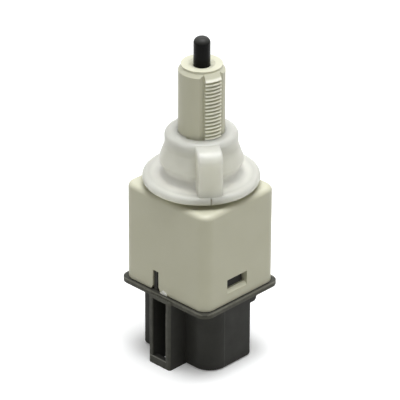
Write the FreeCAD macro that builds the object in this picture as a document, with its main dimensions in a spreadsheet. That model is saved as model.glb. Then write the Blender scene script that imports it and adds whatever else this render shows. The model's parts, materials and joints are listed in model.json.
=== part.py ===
import FreeCAD, Part
import math
import os
import Sketcher

# Stop-lamp switch for a brake pedal bracket, standing on the rim of its plug socket.
# Z runs up along the plunger, X along the row of terminals, Y across it.
# Millimetres and degrees throughout; the floor under the socket rim is Z = 0.

SIZES = [
    ("socket_depth", 15.65, "socket rim up to the underside of the flange"),
    ("socket_left", 9.55, "socket outer wall, -X"),
    ("socket_right", 10.1, "socket outer wall, +X"),
    ("socket_front", 7.5, "socket outer wall, -Y"),
    ("socket_back", 5.05, "socket outer wall, +Y"),
    ("socket_wall", 1.2, "wall of the socket"),
    ("socket_floor", 2.2, "floor of the socket under the flange"),
    ("socket_corner", 1.0, "outer corner radius of the socket"),
    ("socket_key_corner", 4.3, "large corner radius that keys the plug"),
    ("rim_round", 0.7, "rounding of the socket rim"),
    ("flange_ledge", 0.75, "flange beyond the housing walls, all round"),
    ("flange_thickness", 0.9, "flange plate"),
    ("flange_corner", 2.4, "corner radius of the flange"),
    ("latch_left", 3.35, "latch box side, -X"),
    ("latch_right", 2.8, "latch box side, +X"),
    ("latch_proud", 0.6, "latch box face beyond the flange edge"),
    ("latch_wall", 1.15, "jambs of the latch box"),
    ("latch_bar", 1.8, "height of the bar the plug latches on"),
    ("latch_bar_depth", 1.3, "depth of that bar"),
    ("latch_round", 0.5, "rounding of the jambs"),
    ("latch_top", 0.6, "jamb tops above the underside of the flange"),
    ("gusset_thickness", 1.1, "gussets behind the socket"),
    ("gusset_reach", 1.4, "gusset reach behind the socket"),
    ("gusset_drop", 3.0, "gusset height under the flange"),
    ("seam_gap", 0.2, "shadow gap between flange and housing"),
    ("housing_left", 11.95, "housing wall, -X"),
    ("housing_right", 11.65, "housing wall, +X"),
    ("housing_front", 10.7, "housing wall, -Y"),
    ("housing_back", 10.4, "housing wall, +Y"),
    ("housing_height", 22.1, "height of the box part of the housing"),
    ("housing_wall", 1.6, "side walls of the housing"),
    ("housing_roof", 2.0, "roof of the housing"),
    ("housing_corner", 2.5, "radius of the upright corners"),
    ("housing_edge", 1.1, "radius of the roof edges"),
    ("window_low", 2.85, "snap window sill above the housing's lower edge"),
    ("window_height", 2.55, "snap window height"),
    ("window_front", 4.2, "snap window, -Y side"),
    ("window_back", 1.7, "snap window, +Y side"),
    ("window_bevel", 0.7, "bevel of the snap window sill"),
    ("barb_back", 1.3, "snap barb, +Y side"),
    ("barb_play", 0.1, "play between barb and window"),
    ("barb_reach", 0.6, "barb beyond its tongue"),
    ("tongue_thickness", 1.25, "snap tongue"),
    ("slot_left", 3.45, "key slot, far side, along -X"),
    ("slot_right", 1.8, "key slot, near side, along -X"),
    ("slot_height", 4.6, "key slot height"),
    ("slot_flare", 0.5, "flare at the mouth of the key slot"),
    ("key_thickness", 0.9, "key rib in the slot"),
    ("key_recess", 0.35, "key rib behind the housing face"),
    ("pip_width", 2.0, "small gate pip on the lower edge"),
    ("pip_height", 0.9, "gate pip height"),
    ("pip_proud", 0.15, "gate pip beyond the face"),
    ("rail_thickness", 1.0, "guide rails inside the housing"),
    ("slide_play", 0.08, "play of sliding mouldings"),
    ("stem_radius", 4.82, "round stem"),
    ("stem_length", 27.5, "stem above the housing roof"),
    ("ring_radius", 4.3, "ring on top of the stem"),
    ("ring_height", 0.5, "upright part of that ring"),
    ("shoulder_height", 1.3, "top of the stem down to its full radius"),
    ("mouth_radius", 2.75, "countersink round the plunger"),
    ("mouth_depth", 0.4, "depth of that countersink"),
    ("rack_angle", -16.5, "direction of the toothed rack"),
    ("rack_half", 1.8, "half width of the toothed rack"),
    ("rack_crest", 5.3, "crest radius of the teeth"),
    ("rack_root", 4.75, "root radius of the teeth"),
    ("rack_drop", 1.97, "top crest below the top of the stem"),
    ("rack_foot", 3.4, "lowest crest above the housing roof, at least"),
    ("tooth_pitch", 0.8, "pitch of the teeth"),
    ("tooth_land", 0.2, "flat on a crest and at a root"),
    ("relief_width", 1.1, "relief slot beside the rack"),
    ("relief_floor", 4.0, "floor of the relief slots, from the axis"),
    ("plunger_radius", 1.74, "plunger"),
    ("plunger_reach", 5.8, "plunger tip above the stem"),
    ("plunger_dome", 1.2, "rounding of the plunger tip"),
    ("plunger_play", 0.05, "radial play of the plunger"),
    ("plunger_travel", 5.0, "plunger stroke"),
    ("plunger_pin", 1.3, "snap pin under the plunger"),
    ("pin_head", 1.55, "head of the snap pin"),
    ("pin_head_height", 1.2, "height of that head"),
    ("pin_play", 0.03, "play of the snap pin"),
    ("roof_gap", 0.15, "carrier below the housing roof at rest"),
    ("carrier_half_x", 3.6, "half width of the contact carrier"),
    ("carrier_half_y", 7.2, "half length of the contact carrier"),
    ("carrier_roof", 1.6, "carrier web that holds the plunger"),
    ("carrier_sill", 1.2, "carrier under the lower window"),
    ("tongue_half", 1.2, "half width of the carrier's guide tongue"),
    ("tongue_reach", 1.05, "guide tongue beyond the carrier"),
    ("bridge_offset", 4.6, "contact bridges off the centre line"),
    ("bridge_half_x", 7.4, "half length of a bridge"),
    ("bridge_width", 3.0, "width of a bridge"),
    ("bridge_thickness", 0.4, "bridge strip"),
    ("bridge_play", 0.2, "play of a bridge in its window"),
    ("bridge_rest_play", 0.05, "bridge below the edge of its window"),
    ("bridge_stroke", 0.8, "overtravel of a bridge"),
    ("contact_x", 6.2, "contacts off the centre line"),
    ("contact_radius", 1.1, "contact head"),
    ("contact_height", 0.7, "contact head height"),
    ("contact_dome", 0.2, "bevel of a contact head"),
    ("contact_shank", 0.6, "contact rivet shank"),
    ("pad_height", 0.95, "base pad above the flange"),
    ("pad_half_x", 7.8, "half width of the base pad"),
    ("pad_half_y", 7.0, "half length of the base pad"),
    ("tower_half", 1.7, "half width of a terminal tower"),
    ("tower_height", 5.0, "terminal tower above the flange"),
    ("terminal_pitch", 4.2, "pitch of the four terminals"),
    ("terminal_line", -1.05, "line of the terminals along Y"),
    ("blade_width", 2.8, "terminal blade"),
    ("blade_thickness", 0.8, "terminal sheet"),
    ("blade_start", 4.5, "blade tips above the socket rim"),
    ("blade_taper", 0.7, "lead of a blade tip"),
    ("riser_width", 2.0, "riser of the tall terminals"),
    ("arm_margin", 1.3, "terminal arm beyond its contact"),
    ("seat_height", 1.4, "return spring seat above the base pad"),
    ("seat_radius", 2.35, "return spring seat"),
    ("post_radius", 1.35, "post inside the return spring"),
    ("post_height", 3.5, "post above the spring seat"),
    ("return_radius", 1.9, "return spring, mean radius"),
    ("return_wire", 0.45, "return spring wire"),
    ("return_turns", 8, "return spring turns"),
    ("pocket_radius", 2.4, "spring pocket in the carrier"),
    ("press_radius", 1.05, "contact spring, mean radius"),
    ("press_wire", 0.35, "contact spring wire"),
    ("press_turns", 4, "contact spring turns"),
    ("collar_gap", 0.9, "collar above the housing roof"),
    ("collar_flange_radius", 12.15, "collar flange"),
    ("collar_flange_thickness", 1.9, "collar flange"),
    ("collar_flange_round", 0.85, "edge of the collar flange"),
    ("collar_neck_radius", 7.8, "neck that sits in the bracket hole"),
    ("collar_neck_height", 1.3, "upright part of that neck"),
    ("collar_skirt_radius", 8.8, "widest ring of the skirt"),
    ("collar_skirt_height", 3.1, "widest ring above the flange"),
    ("collar_ring_radius", 7.6, "top ring of the collar"),
    ("collar_ring_height", 3.2, "top ring of the collar"),
    ("collar_cone_height", 3.5, "cone between skirt and top ring"),
    ("collar_round", 1.3, "rounding of the top ring"),
    ("collar_blend", 1.0, "blends between neck, skirt and cone"),
    ("collar_play", 0.07, "radial play between collar and stem"),
    ("key_angle", -36.0, "direction of the bayonet key"),
    ("key_half", 2.5, "half width of the bayonet key"),
    ("key_reach", 11.7, "bayonet key from the axis"),
    ("key_round", 1.8, "rounding of the key's outer edge"),
    ("key_edge", 0.4, "rounding of the key's side edges"),
    ("slit_width", 0.35, "slit in the collar's rim"),
    ("turn_angle", 45.0, "turn that locks the collar"),
    ("lock_half_angle", 15.0, "half of the sector of a locking thread"),
    ("lock_count", 4, "locking ridges one above another"),
    ("lock_first", 4, "tooth gap in which the lowest ridge sits"),
]

doc = FreeCAD.newDocument("BrakeLightSwitch")
sheet = doc.addObject("Spreadsheet::Sheet", "dim")
for row, (alias, value, meaning) in enumerate(SIZES, start=1):
    sheet.set(f"A{row}", meaning)
    sheet.set(f"B{row}", str(value))
    sheet.setAlias(f"B{row}", alias)
doc.recompute()

# Heights that several pieces share, each worked out from the sheet's cells.
FLANGE_TOP = "(dim.socket_depth + dim.flange_thickness)"
HOUSING_LOW = f"({FLANGE_TOP} + dim.seam_gap)"
ROOF_TOP = f"({HOUSING_LOW} + dim.housing_height)"
ROOF_UNDER = f"({ROOF_TOP} - dim.housing_roof)"
STEM_TOP = f"({ROOF_TOP} + dim.stem_length)"
INSIDE_X = "(dim.housing_right - dim.housing_wall)"
INSIDE_Y = "(dim.housing_back - dim.housing_wall)"
PAD_TOP = f"({FLANGE_TOP} + dim.pad_height)"
SEAT_TOP = f"({PAD_TOP} + dim.seat_height)"
LOW_ARM_TOP = f"({PAD_TOP} + dim.blade_thickness)"
CARRIER_TOP = f"({ROOF_UNDER} - dim.roof_gap)"
LOW_CONTACT = f"({LOW_ARM_TOP} + dim.contact_height)"
LOW_BRIDGE = f"({LOW_CONTACT} + dim.plunger_travel + dim.contact_height)"
LOW_SILL = f"({LOW_BRIDGE} - dim.bridge_rest_play)"
CARRIER_LOW = f"({LOW_SILL} - dim.carrier_sill)"
HIGH_ARM_UNDER = f"({CARRIER_TOP} - dim.carrier_roof - dim.bridge_stroke / 2)"
HIGH_BRIDGE = f"({HIGH_ARM_UNDER} - 2 * dim.contact_height)"
HIGH_LINTEL = f"({HIGH_BRIDGE} + dim.bridge_rest_play)"
WINDOW_SPLIT = f"(({LOW_BRIDGE} + {HIGH_BRIDGE}) / 2)"
LATCH_FACE = "(dim.housing_front + dim.flange_ledge + dim.latch_proud)"
COLLAR_LOW = f"({ROOF_TOP} + dim.collar_gap)"
COLLAR_FLANGE_TOP = f"({COLLAR_LOW} + dim.collar_flange_thickness)"
COLLAR_SKIRT = f"({COLLAR_FLANGE_TOP} + dim.collar_skirt_height)"
COLLAR_CONE_TOP = f"({COLLAR_SKIRT} + dim.collar_cone_height)"
COLLAR_TOP = f"({COLLAR_CONE_TOP} + dim.collar_ring_height)"

nodes = {}


def size(expression):
    """Value of an expression over the sheet's cells."""
    return float(doc.getObject("dim").evalExpression(expression.replace("dim.", "")))


def origin_feature(body, role):
    return next(f for f in body.Origin.OriginFeatures if f.Role == role)


def new_body(name):
    return doc.addObject("PartDesign::Body", name)


def new_sketch(body, name, plane="XY_Plane", height=None, turn=None):
    """Sketch on one of the body's own planes, lifted and turned by expressions."""
    sketch = body.newObject("Sketcher::SketchObject", name)
    sketch.AttachmentSupport = [(origin_feature(body, plane), "")]
    sketch.MapMode = "FlatFace"
    if height is not None:
        sketch.setExpression("AttachmentOffset.Base.z", height)
    if turn is not None:
        sketch.AttachmentOffset = FreeCAD.Placement(
            FreeCAD.Vector(0, 0, 0), FreeCAD.Rotation(FreeCAD.Vector(0, 0, 1), size(turn)))
        sketch.setExpression("AttachmentOffset.Rotation.Angle", turn)
        if height is not None:
            sketch.setExpression("AttachmentOffset.Base.z", height)
    return sketch


def outline(sketch, corners):
    """Closed polygon whose corners are pairs of expressions."""
    values = [(size(across), size(up)) for across, up in corners]
    first = sketch.GeometryCount
    count = len(corners)
    for i in range(count):
        start = FreeCAD.Vector(*values[i], 0)
        end = FreeCAD.Vector(*values[(i + 1) % count], 0)
        sketch.addGeometry(Part.LineSegment(start, end), False)
    for i in range(count):
        sketch.addConstraint(
            Sketcher.Constraint("Coincident", first + i, 2, first + (i + 1) % count, 1))
    for i in range(count):
        for kind, axis in (("DistanceX", 0), ("DistanceY", 1)):
            number = sketch.addConstraint(
                Sketcher.Constraint(kind, -1, 1, first + i, 1, values[i][axis]))
            sketch.setExpression(f"Constraints[{number}]", corners[i][axis])


def rectangle(sketch, left, right, low, high):
    outline(sketch, [(left, low), (right, low), (right, high), (left, high)])


def circle(sketch, radius, across="0", up="0"):
    centre = FreeCAD.Vector(size(across), size(up), 0)
    number = sketch.addGeometry(
        Part.Circle(centre, FreeCAD.Vector(0, 0, 1), size(radius)), False)
    for kind, expression in (("DistanceX", across), ("DistanceY", up)):
        at = sketch.addConstraint(
            Sketcher.Constraint(kind, -1, 1, number, 3, size(expression)))
        sketch.setExpression(f"Constraints[{at}]", expression)
    at = sketch.addConstraint(Sketcher.Constraint("Radius", number, size(radius)))
    sketch.setExpression(f"Constraints[{at}]", radius)


def block_with_round_end(sketch, half_width, inner, radius):
    """Strip along the sketch's X, closed at its far end by an arc about the origin."""
    half, start, reach = size(half_width), size(inner), size(radius)
    corner = math.sqrt(reach ** 2 - half ** 2)
    points = [FreeCAD.Vector(corner, -half, 0), FreeCAD.Vector(start, -half, 0),
              FreeCAD.Vector(start, half, 0), FreeCAD.Vector(corner, half, 0)]
    for a, b in zip(points, points[1:]):
        sketch.addGeometry(Part.LineSegment(a, b), False)
    lean = math.asin(half / reach)
    centre = Part.Circle(FreeCAD.Vector(0, 0, 0), FreeCAD.Vector(0, 0, 1), reach)
    arc = sketch.addGeometry(Part.ArcOfCircle(centre, -lean, lean), False)
    for a, end_a, b, end_b in ((0, 2, 1, 1), (1, 2, 2, 1), (2, 2, arc, 2), (0, 1, arc, 1)):
        sketch.addConstraint(Sketcher.Constraint("Coincident", a, end_a, b, end_b))
    sketch.addConstraint(Sketcher.Constraint("Coincident", arc, 3, -1, 1))
    sketch.addConstraint(Sketcher.Constraint("Horizontal", 0))
    sketch.addConstraint(Sketcher.Constraint("Horizontal", 2))
    for kind, line, value, expression in (
            ("DistanceY", 0, -half, f"-({half_width})"), ("DistanceY", 2, half, half_width),
            ("DistanceX", 1, start, inner), ("DistanceX", 2, start, inner)):
        at = sketch.addConstraint(Sketcher.Constraint(kind, -1, 1, line, 1, value))
        sketch.setExpression(f"Constraints[{at}]", expression)
    at = sketch.addConstraint(Sketcher.Constraint("Radius", arc, reach))
    sketch.setExpression(f"Constraints[{at}]", radius)


def pad(body, name, sketch, length, both_ways=False, down=False):
    feature = body.newObject("PartDesign::Pad", name)
    feature.Profile = sketch
    feature.Midplane = both_ways
    feature.Reversed = down
    feature.setExpression("Length", length)
    doc.recompute()
    return feature


def pocket(body, name, sketch, length, up=True):
    """Cut a sketch's outline over a length, upwards or downwards."""
    feature = body.newObject("PartDesign::Pocket", name)
    feature.Profile = sketch
    feature.Reversed = up
    feature.setExpression("Length", length)
    doc.recompute()
    return feature


def turned(body, name, sketch, cut=False, angle=360.0):
    kind = "PartDesign::Groove" if cut else "PartDesign::Revolution"
    feature = body.newObject(kind, name)
    feature.Profile = sketch
    feature.ReferenceAxis = (sketch, ["V_Axis"])
    feature.Angle = angle
    doc.recompute()
    return feature


def polar(body, name, originals, count):
    """Copies of features spaced evenly round the Z axis."""
    feature = body.newObject("PartDesign::PolarPattern", name)
    feature.Originals = originals
    feature.Axis = (origin_feature(body, "Z_Axis"), [""])
    feature.Occurrences = count
    feature.Angle = 360
    body.Tip = feature
    doc.recompute()
    return feature


def rounded(body, name, radius, wanted):
    feature = body.newObject("PartDesign::Fillet", name)
    base = [f for f in body.Group if hasattr(f, "Shape") and f is not feature][-1]
    feature.Base = (base, [f"Edge{i}" for i, edge in enumerate(base.Shape.Edges, start=1)
                           if wanted(edge)])
    feature.setExpression("Radius", radius)
    body.Tip = feature
    doc.recompute()
    return feature


def bevelled(body, name, width, wanted):
    feature = body.newObject("PartDesign::Chamfer", name)
    base = [f for f in body.Group if hasattr(f, "Shape") and f is not feature][-1]
    feature.Base = (base, [f"Edge{i}" for i, edge in enumerate(base.Shape.Edges, start=1)
                           if wanted(edge)])
    feature.setExpression("Size", width)
    body.Tip = feature
    doc.recompute()
    return feature


def near(a, b):
    return abs(a - b) < 1e-4


def upright(edge, x=None, y=None):
    """True for a straight upright edge, at a given X or Y where one is stated."""
    box = edge.BoundBox
    if box.XLength > 1e-4 or box.YLength > 1e-4:
        return False
    return (x is None or near(box.XMin, x)) and (y is None or near(box.YMin, y))


def level(edge, z):
    box = edge.BoundBox
    return near(box.ZMin, z) and near(box.ZMax, z)


def keep(name, feature):
    """Give a finished piece its own name and Label."""
    feature.Label = name
    nodes[name] = feature


def teeth_layout():
    """Number of crests and height of the lowest one, counted down from the fixed top crest."""
    room = size("dim.stem_length - dim.rack_drop - dim.rack_foot")
    count = int(room / size("dim.tooth_pitch")) + 1
    lowest = f"({STEM_TOP} - dim.rack_drop - {count - 1} * dim.tooth_pitch)"
    return count, lowest


def build_housing():
    """One cream moulding: hollow square box, round stem and two toothed racks."""
    body = new_body("housing")
    sketch = new_sketch(body, "box_outline", height=HOUSING_LOW)
    rectangle(sketch, "-dim.housing_left", "dim.housing_right", "-dim.housing_front", "dim.housing_back")
    pad(body, "box", sketch, "dim.housing_height")
    rounded(body, "box_corners", "dim.housing_corner", upright)
    roof = size(ROOF_TOP)
    rounded(body, "roof_edges", "dim.housing_edge", lambda e: level(e, roof))

    sketch = new_sketch(body, "stem_profile", "XZ_Plane")
    outline(sketch, [
        ("0", ROOF_UNDER), ("dim.stem_radius", ROOF_UNDER),
        ("dim.stem_radius", f"{STEM_TOP} - dim.shoulder_height"),
        ("dim.ring_radius", f"{STEM_TOP} - dim.ring_height"),
        ("dim.ring_radius", STEM_TOP), ("0", STEM_TOP)])
    turned(body, "stem", sketch)

    crest_count, crest_low = teeth_layout()
    rack_sides = ("dim.rack_angle", "dim.rack_angle + 180")
    for side, angle in zip(("front", "rear"), rack_sides):
        sketch = new_sketch(body, f"{side}_rack_outline", height=ROOF_UNDER, turn=angle)
        block_with_round_end(sketch, "dim.rack_half", "dim.relief_floor", "dim.rack_crest")
        pad(body, f"{side}_rack", sketch,
            "dim.stem_length + dim.housing_roof - dim.ring_height")
    sketch = new_sketch(body, "rack_lead_profile", "XZ_Plane")
    beyond = "(dim.rack_crest + dim.tooth_pitch)"
    outline(sketch, [
        ("dim.ring_radius", f"{STEM_TOP} - dim.ring_height / 2"),
        ("dim.rack_crest", f"{STEM_TOP} - dim.rack_drop"),
        (beyond, f"{STEM_TOP} - dim.rack_drop"), (beyond, STEM_TOP), ("dim.ring_radius", STEM_TOP)])
    turned(body, "rack_leads", sketch, cut=True)

    for side, angle in zip(("front", "rear"), rack_sides):
        sketch = new_sketch(body, f"{side}_relief_outline", height=ROOF_TOP, turn=angle)
        far = "(dim.rack_half + dim.relief_width)"
        rectangle(sketch, "dim.relief_floor", "dim.rack_crest", "dim.rack_half", far)
        rectangle(sketch, "dim.relief_floor", "dim.rack_crest", f"-{far}", "-dim.rack_half")
        pocket(body, f"{side}_reliefs", sketch, "dim.stem_length + dim.tooth_pitch")

    gap_half = math.degrees(math.asin(size("dim.rack_half / dim.rack_root"))) + 3.0
    for side, angle in zip(("front", "rear"), rack_sides):
        sketch = new_sketch(body, f"{side}_tooth_gap_profile", "XZ_Plane")
        middle = f"({crest_low} + dim.tooth_pitch / 2)"
        mouth = "(dim.tooth_pitch - dim.tooth_land) / 2"
        outline(sketch, [
            ("dim.rack_root", f"{middle} - dim.tooth_land / 2"),
            ("dim.rack_crest", f"{middle} - {mouth}"),
            (beyond, f"{middle} - {mouth}"), (beyond, f"{middle} + {mouth}"),
            ("dim.rack_crest", f"{middle} + {mouth}"),
            ("dim.rack_root", f"{middle} + dim.tooth_land / 2")])
        sketch.AttachmentOffset = FreeCAD.Placement(
            FreeCAD.Vector(0, 0, 0), FreeCAD.Rotation(FreeCAD.Vector(0, 1, 0), size(angle)))
        sketch.setExpression("AttachmentOffset.Rotation.Angle", angle)
        gap = turned(body, f"{side}_tooth_gap", sketch, cut=True, angle=2 * gap_half)
        gap.Midplane = True
        row = body.newObject("PartDesign::LinearPattern", f"{side}_teeth")
        row.Originals = [gap]
        row.Direction = (origin_feature(body, "Z_Axis"), [""])
        row.Occurrences = crest_count - 1
        row.setExpression("Length", f"{crest_count - 2} * dim.tooth_pitch")
        body.Tip = row
        doc.recompute()

    sketch = new_sketch(body, "hollow_outline", height=HOUSING_LOW)
    rectangle(sketch, f"-{INSIDE_X}", INSIDE_X, f"-{INSIDE_Y}", INSIDE_Y)
    pocket(body, "hollow", sketch, "dim.housing_height - dim.housing_roof")

    sketch = new_sketch(body, "bore_profile", "XZ_Plane")
    bore = "(dim.plunger_radius + dim.plunger_play)"
    outline(sketch, [
        ("0", f"{ROOF_UNDER} - dim.housing_roof"), (bore, f"{ROOF_UNDER} - dim.housing_roof"),
        (bore, f"{STEM_TOP} - dim.mouth_depth"), ("dim.mouth_radius", STEM_TOP),
        ("dim.mouth_radius", f"{STEM_TOP} + dim.mouth_depth"),
        ("0", f"{STEM_TOP} + dim.mouth_depth")])
    turned(body, "bore", sketch, cut=True)

    sketch = new_sketch(body, "rail_outlines", height=SEAT_TOP)
    near_side = "(dim.tongue_half + dim.slide_play)"
    far_side = f"({near_side} + dim.rail_thickness)"
    rail_start = "(dim.carrier_half_y + dim.slide_play * 2)"
    for low, high in ((rail_start, INSIDE_Y), (f"-{INSIDE_Y}", f"-{rail_start}")):
        rectangle(sketch, near_side, far_side, low, high)
        rectangle(sketch, f"-{far_side}", f"-{near_side}", low, high)
    pad(body, "rails", sketch, f"{ROOF_UNDER} - {SEAT_TOP}")

    sketch = new_sketch(body, "window_outline", "YZ_Plane")
    sill = f"({HOUSING_LOW} + dim.window_low)"
    rectangle(sketch, "-dim.window_front", "dim.window_back", sill, f"{sill} + dim.window_height")
    window = body.newObject("PartDesign::Pocket", "windows")
    window.Profile = sketch
    window.Midplane = True
    window.setExpression("Length", "2 * dim.housing_left + dim.housing_wall")
    doc.recompute()
    faces_x, sill_z = (size("-dim.housing_left"), size("dim.housing_right")), size(sill)
    bevelled(body, "window_bevels", "dim.window_bevel",
             lambda e: level(e, sill_z) and e.BoundBox.YLength > 1.0
             and any(near(e.BoundBox.XMin, x) and near(e.BoundBox.XMax, x) for x in faces_x))

    sketch = new_sketch(body, "slot_outline", "XZ_Plane")
    slot_top = f"({HOUSING_LOW} + dim.slot_height)"
    outline(sketch, [
        ("-dim.slot_left - dim.slot_flare", f"{HOUSING_LOW} - dim.slot_flare"),
        ("-dim.slot_right + dim.slot_flare", f"{HOUSING_LOW} - dim.slot_flare"),
        ("-dim.slot_right + dim.slot_flare", HOUSING_LOW),
        ("-dim.slot_right", f"{HOUSING_LOW} + 2 * dim.slot_flare"), ("-dim.slot_right", slot_top),
        ("-dim.slot_left", slot_top), ("-dim.slot_left", f"{HOUSING_LOW} + 2 * dim.slot_flare"),
        ("-dim.slot_left - dim.slot_flare", HOUSING_LOW)])
    slot = body.newObject("PartDesign::Pocket", "key_slot")
    slot.Profile = sketch
    slot.Reversed = True
    slot.setExpression("Length", "dim.housing_front + dim.housing_wall")
    doc.recompute()

    sketch = new_sketch(body, "pip_outline", "XZ_Plane", height="dim.housing_front - dim.housing_wall / 2")
    pip_left = "(-dim.slot_right + dim.slot_flare)"
    outline(sketch, [
        (pip_left, HOUSING_LOW), (f"{pip_left} + dim.pip_width / 3", f"{HOUSING_LOW} - dim.seam_gap / 2"),
        (f"{pip_left} + dim.pip_width", f"{HOUSING_LOW} - dim.seam_gap / 2"),
        (f"{pip_left} + dim.pip_width", f"{HOUSING_LOW} + dim.pip_height / 2"),
        (f"{pip_left} + dim.pip_width / 2", f"{HOUSING_LOW} + dim.pip_height")])
    pad(body, "gate_pip", sketch, "dim.housing_wall / 2 + dim.pip_proud")
    keep("housing", body)


def build_collar():
    """Natural nylon ring that locks the switch in the bracket's hole."""
    body = new_body("mounting_collar")
    sketch = new_sketch(body, "ring_profile", "XZ_Plane")
    bore = "(dim.stem_radius + dim.collar_play)"
    neck_top = f"({COLLAR_FLANGE_TOP} + dim.collar_neck_height)"
    outline(sketch, [
        (bore, COLLAR_LOW), ("dim.collar_flange_radius", COLLAR_LOW),
        ("dim.collar_flange_radius", COLLAR_FLANGE_TOP), ("dim.collar_neck_radius", COLLAR_FLANGE_TOP),
        ("dim.collar_neck_radius", neck_top), ("dim.collar_skirt_radius", COLLAR_SKIRT),
        ("dim.collar_ring_radius", COLLAR_CONE_TOP), ("dim.collar_ring_radius", COLLAR_TOP),
        (bore, COLLAR_TOP)])
    turned(body, "ring", sketch)
    flange_low, flange_top = size(COLLAR_LOW), size(COLLAR_FLANGE_TOP)
    flange_radius, ring_radius = size("dim.collar_flange_radius"), size("dim.collar_ring_radius")
    top = size(COLLAR_TOP)

    def rim(edge):
        radius = getattr(edge.Curve, "Radius", 0)
        return near(radius, flange_radius) and (level(edge, flange_low) or level(edge, flange_top))

    rounded(body, "rim_rounds", "dim.collar_flange_round", rim)
    neck, skirt = size("dim.collar_neck_radius"), size("dim.collar_skirt_radius")
    rings = ((neck, flange_top), (neck, size(neck_top)), (skirt, size(COLLAR_SKIRT)),
             (ring_radius, size(COLLAR_CONE_TOP)))
    rounded(body, "skirt_blends", "dim.collar_blend",
            lambda e: any(near(getattr(e.Curve, "Radius", 0), r) and level(e, z) for r, z in rings))
    rounded(body, "ring_round", "dim.collar_round",
            lambda e: level(e, top) and near(getattr(e.Curve, "Radius", 0), ring_radius))

    sketch = new_sketch(body, "key_outline", height=f"{COLLAR_FLANGE_TOP} - dim.collar_flange_round",
                        turn="dim.key_angle")
    inner = "(dim.collar_neck_radius + dim.stem_radius) / 2"
    block_with_round_end(sketch, "dim.key_half", inner, "dim.key_reach")
    key = pad(body, "bayonet_key", sketch,
              f"{COLLAR_TOP} - {COLLAR_FLANGE_TOP} + dim.collar_flange_round - dim.collar_round / 4")
    polar(body, "bayonet_keys", [key], 2)
    reach, key_top = size("dim.key_reach"), size(f"{COLLAR_TOP} - dim.collar_round / 4")
    rounded(body, "key_rounds", "dim.key_round",
            lambda e: level(e, key_top) and near(getattr(e.Curve, "Radius", 0), reach))
    rounded(body, "key_edges", "dim.key_edge",
            lambda e: upright(e) and near(math.hypot(e.BoundBox.XMin, e.BoundBox.YMin), reach))

    sketch = new_sketch(body, "slit_outline", height=COLLAR_LOW, turn="dim.key_angle")
    rectangle(sketch, "dim.key_reach", "dim.collar_flange_radius + 1",
              "-dim.slit_width / 2", "dim.slit_width / 2")
    slit = pocket(body, "rim_slit", sketch, "dim.collar_flange_thickness")
    polar(body, "rim_slits", [slit], 2)

    crest_low = teeth_layout()[1]
    way = "(dim.rack_crest + dim.collar_play)"
    rack_lean = math.degrees(math.asin(size("dim.rack_half / dim.stem_radius"))) + 1.0
    start = size("dim.rack_angle - dim.turn_angle") - rack_lean
    sweep = size("dim.turn_angle") + 2 * rack_lean
    sketch = new_sketch(body, "rack_way_profile", "XZ_Plane")
    rectangle(sketch, "dim.stem_radius / 2", way, f"{COLLAR_LOW} - 1", f"{COLLAR_TOP} + 1")
    sketch.AttachmentOffset = FreeCAD.Placement(
        FreeCAD.Vector(0, 0, 0), FreeCAD.Rotation(FreeCAD.Vector(0, 1, 0), start + sweep / 2))
    way_cut = turned(body, "rack_way", sketch, cut=True, angle=sweep)
    way_cut.Midplane = True
    polar(body, "rack_ways", [way_cut], 2)

    ridge_angle = size("dim.rack_angle - dim.turn_angle")
    for side, turn in (("front", 0.0), ("rear", 180.0)):
        sketch = new_sketch(body, f"{side}_ridge_profile", "XZ_Plane")
        sketch.AttachmentOffset = FreeCAD.Placement(
            FreeCAD.Vector(0, 0, 0), FreeCAD.Rotation(FreeCAD.Vector(0, 1, 0), ridge_angle + turn))
        middle = f"({crest_low} + (dim.lock_first + 0.5) * dim.tooth_pitch)"
        foot = "(dim.tooth_pitch - dim.tooth_land) / 2 - dim.collar_play"
        inner = "(dim.stem_radius + dim.collar_play)"
        outer = f"({way} + dim.collar_play)"
        outline(sketch, [
            (inner, f"{middle} - dim.tooth_land / 4"), (way, f"{middle} - ({foot})"),
            (outer, f"{middle} - ({foot})"), (outer, f"{middle} + {foot}"),
            (way, f"{middle} + {foot}"), (inner, f"{middle} + dim.tooth_land / 4")])
        ridge = turned(body, f"{side}_ridge", sketch, angle=2 * size("dim.lock_half_angle"))
        ridge.Midplane = True
        row = body.newObject("PartDesign::LinearPattern", f"{side}_ridges")
        row.Originals = [ridge]
        row.Direction = (origin_feature(body, "Z_Axis"), [""])
        row.Occurrences = int(size("dim.lock_count"))
        row.setExpression("Length", "(dim.lock_count - 1) * dim.tooth_pitch")
        body.Tip = row
        doc.recompute()
    keep("mounting_collar", body)


def build_plunger():
    """Black push rod: domed tip, long round shaft and a snap pin for the carrier."""
    body = new_body("plunger")
    tip = f"({STEM_TOP} + dim.plunger_reach)"
    web_low = f"({CARRIER_TOP} - dim.carrier_roof)"
    sketch = new_sketch(body, "rod_profile", "XZ_Plane")
    outline(sketch, [
        ("0", f"{web_low} - dim.pin_head_height"),
        ("dim.plunger_pin - 0.3", f"{web_low} - dim.pin_head_height"),
        ("dim.pin_head", f"{web_low} - dim.plunger_play * 2"),
        ("dim.plunger_pin", f"{web_low} - dim.plunger_play * 2"), ("dim.plunger_pin", CARRIER_TOP),
        ("dim.plunger_radius", CARRIER_TOP), ("dim.plunger_radius", tip), ("0", tip)])
    turned(body, "rod", sketch)
    tip_z = size(tip)
    rounded(body, "dome", "dim.plunger_dome",
            lambda e: level(e, tip_z) and hasattr(e.Curve, "Radius"))
    keep("plunger", body)


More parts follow.
